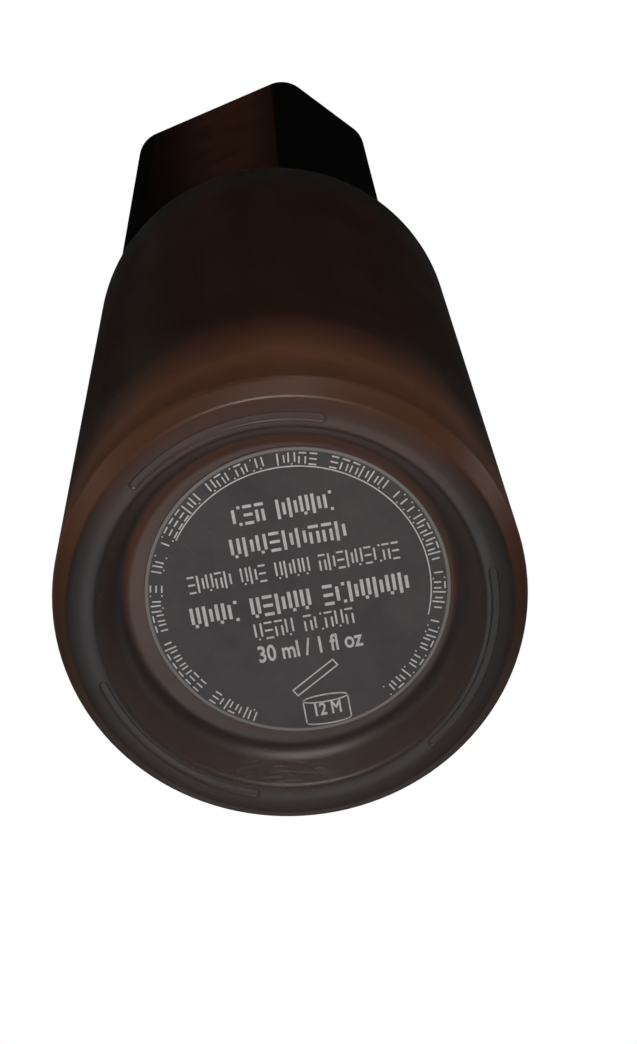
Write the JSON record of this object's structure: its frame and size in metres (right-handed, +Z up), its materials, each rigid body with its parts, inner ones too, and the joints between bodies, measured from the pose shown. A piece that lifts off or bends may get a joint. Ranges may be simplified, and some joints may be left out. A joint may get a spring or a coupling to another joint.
{
  "type": "foundation bottle",
  "caption": "Round heavy-wall glass foundation bottle with a screw-on lotion pump, dip tube, recessed base with a round label, and a tall faceted glossy black overcap.",
  "frame": {"origin": "middle of the foot ring, on the surface that the bottle stands on", "axes": "+Z up along the bottle's axis from the foot to the cap; the spout points along -Y"},
  "size_m": [0.033, 0.033, 0.118],
  "materials": {
    "clear_glass": "polished clear flint glass, heavy wall and base",
    "label_film": "matte charcoal film label with a thin light rim",
    "soft_seal": "soft off-white polyethylene foam",
    "black_gloss_plastic": "piano black, glossy",
    "black_satin_plastic": "satin black moulded plastic",
    "natural_plastic": "natural milky polypropylene",
    "white_plastic": "white moulded polypropylene",
    "foundation_liquid": "opaque dark brown liquid foundation, wet against the glass",
    "spring_steel": "bright drawn stainless wire"
  },
  "bodies": {
    "bottle": {"bottle_body": "clear_glass", "base_label": "label_film"},
    "pump_engine": {"pump_housing": "natural_plastic", "neck_gasket": "soft_seal", "stem_retainer": "white_plastic", "dip_tube": "natural_plastic", "return_spring": "spring_steel"},
    "collar": {"screw_collar": "black_satin_plastic", "collar_sleeve": "black_gloss_plastic"},
    "overcap": {"overcap_shell": "black_gloss_plastic", "overcap_liner": "black_satin_plastic"},
    "piston": {"piston": "white_plastic"},
    "plunger": {"piston_rod": "white_plastic", "pump_stem": "white_plastic", "actuator": "black_satin_plastic", "nozzle_insert": "black_gloss_plastic"},
    "inlet_ball": {"check_ball": "spring_steel"}
  },
  "joints": [
    {"name": "pump_lift", "type": "slide", "parent": "bottle", "child": "pump_engine", "axis": [0, 0, 1], "range_m": [0, 0.0045]},
    {"name": "collar_turn", "type": "hinge", "parent": "pump_engine", "child": "collar", "pos_m": [0, 0, 0.077], "axis": [0, 0, 1], "range_deg": [0, 540]},
    {"name": "overcap_pull", "type": "slide", "parent": "collar", "child": "overcap", "axis": [0, 0, 1], "range_m": [0, 0.045]},
    {"name": "pump_stroke", "type": "slide", "parent": "pump_engine", "child": "piston", "axis": [0, 0, 1], "range_m": [-0.0045, 0], "stiffness_N_per_m": 600, "springref_m": 0.003, "deforming": ["return_spring"]},
    {"name": "actuator_turn", "type": "hinge", "parent": "piston", "child": "plunger", "pos_m": [0, 0, 0.08], "axis": [0, 0, 1], "continuous": true},
    {"name": "ball_lift", "type": "slide", "parent": "pump_engine", "child": "inlet_ball", "axis": [0, 0, 1], "range_m": [0, 0.0008]}
  ],
  "couplings": [
    {"joint": "pump_lift", "follows": "collar_turn", "m_per_rad": 0.00047746}
  ]
}
